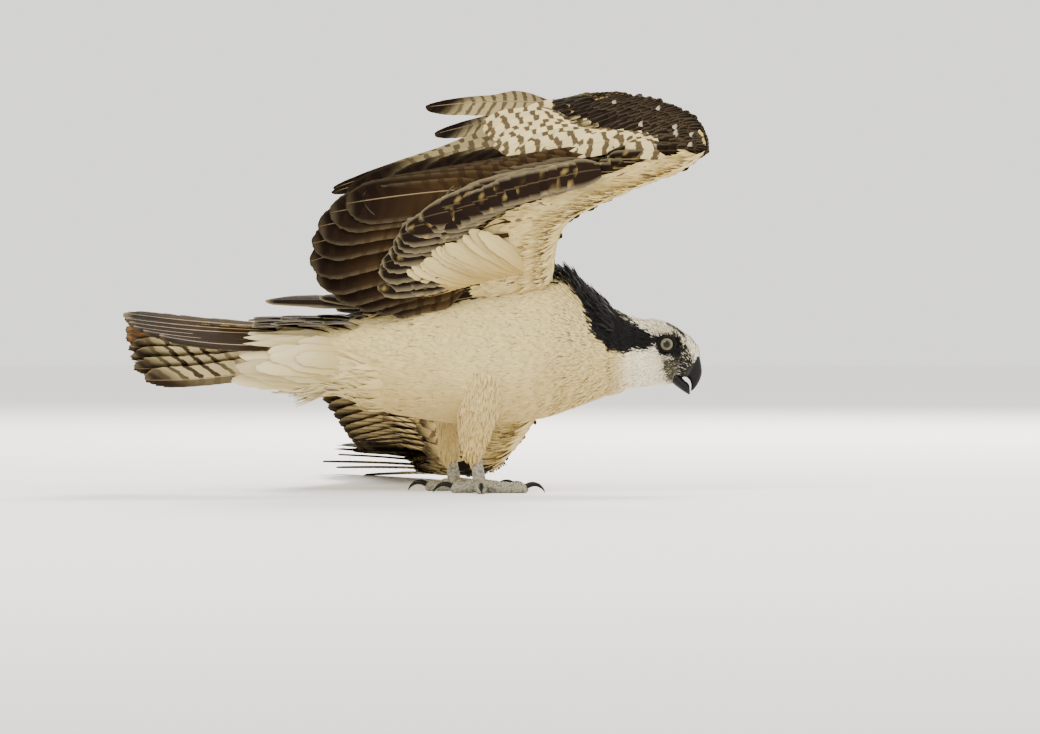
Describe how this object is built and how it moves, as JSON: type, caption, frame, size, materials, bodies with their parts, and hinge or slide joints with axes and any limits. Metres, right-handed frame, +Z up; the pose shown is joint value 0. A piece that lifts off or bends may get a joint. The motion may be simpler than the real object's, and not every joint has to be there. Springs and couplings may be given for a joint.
{
  "type": "osprey",
  "caption": "Life-size standing osprey, a still museum model: one wing raised over the back, the other drooped to the floor, bill slightly open.",
  "frame": {"origin": "bottom centre of the bounding box, on the floor that the toes stand on", "axes": "+X towards the bill, +Z up, +Y towards the bird's left, where the drooped wing lies"},
  "size_m": [0.5814, 0.7725, 0.4017],
  "materials": {
    "cream_feather": "soft",
    "flight_feather": "soft",
    "bill_horn": "satin",
    "iris": "gloss",
    "scaled_skin": "matte"
  },
  "bodies": {
    "root": {"torso": "cream_feather", "neck": "cream_feather", "head": "cream_feather", "bill_upper": "bill_horn", "bill_lower": "bill_horn", "eye_right": "iris", "eye_left": "iris", "tail": "flight_feather", "thigh_right": "cream_feather", "thigh_left": "cream_feather", "shank_right": "scaled_skin", "shank_left": "scaled_skin", "foot_right": "scaled_skin", "foot_left": "scaled_skin", "wing_right_arm": "flight_feather", "wing_right_hand": "flight_feather", "wing_left_arm": "flight_feather", "wing_left_hand": "flight_feather"}
  },
  "joints": []
}
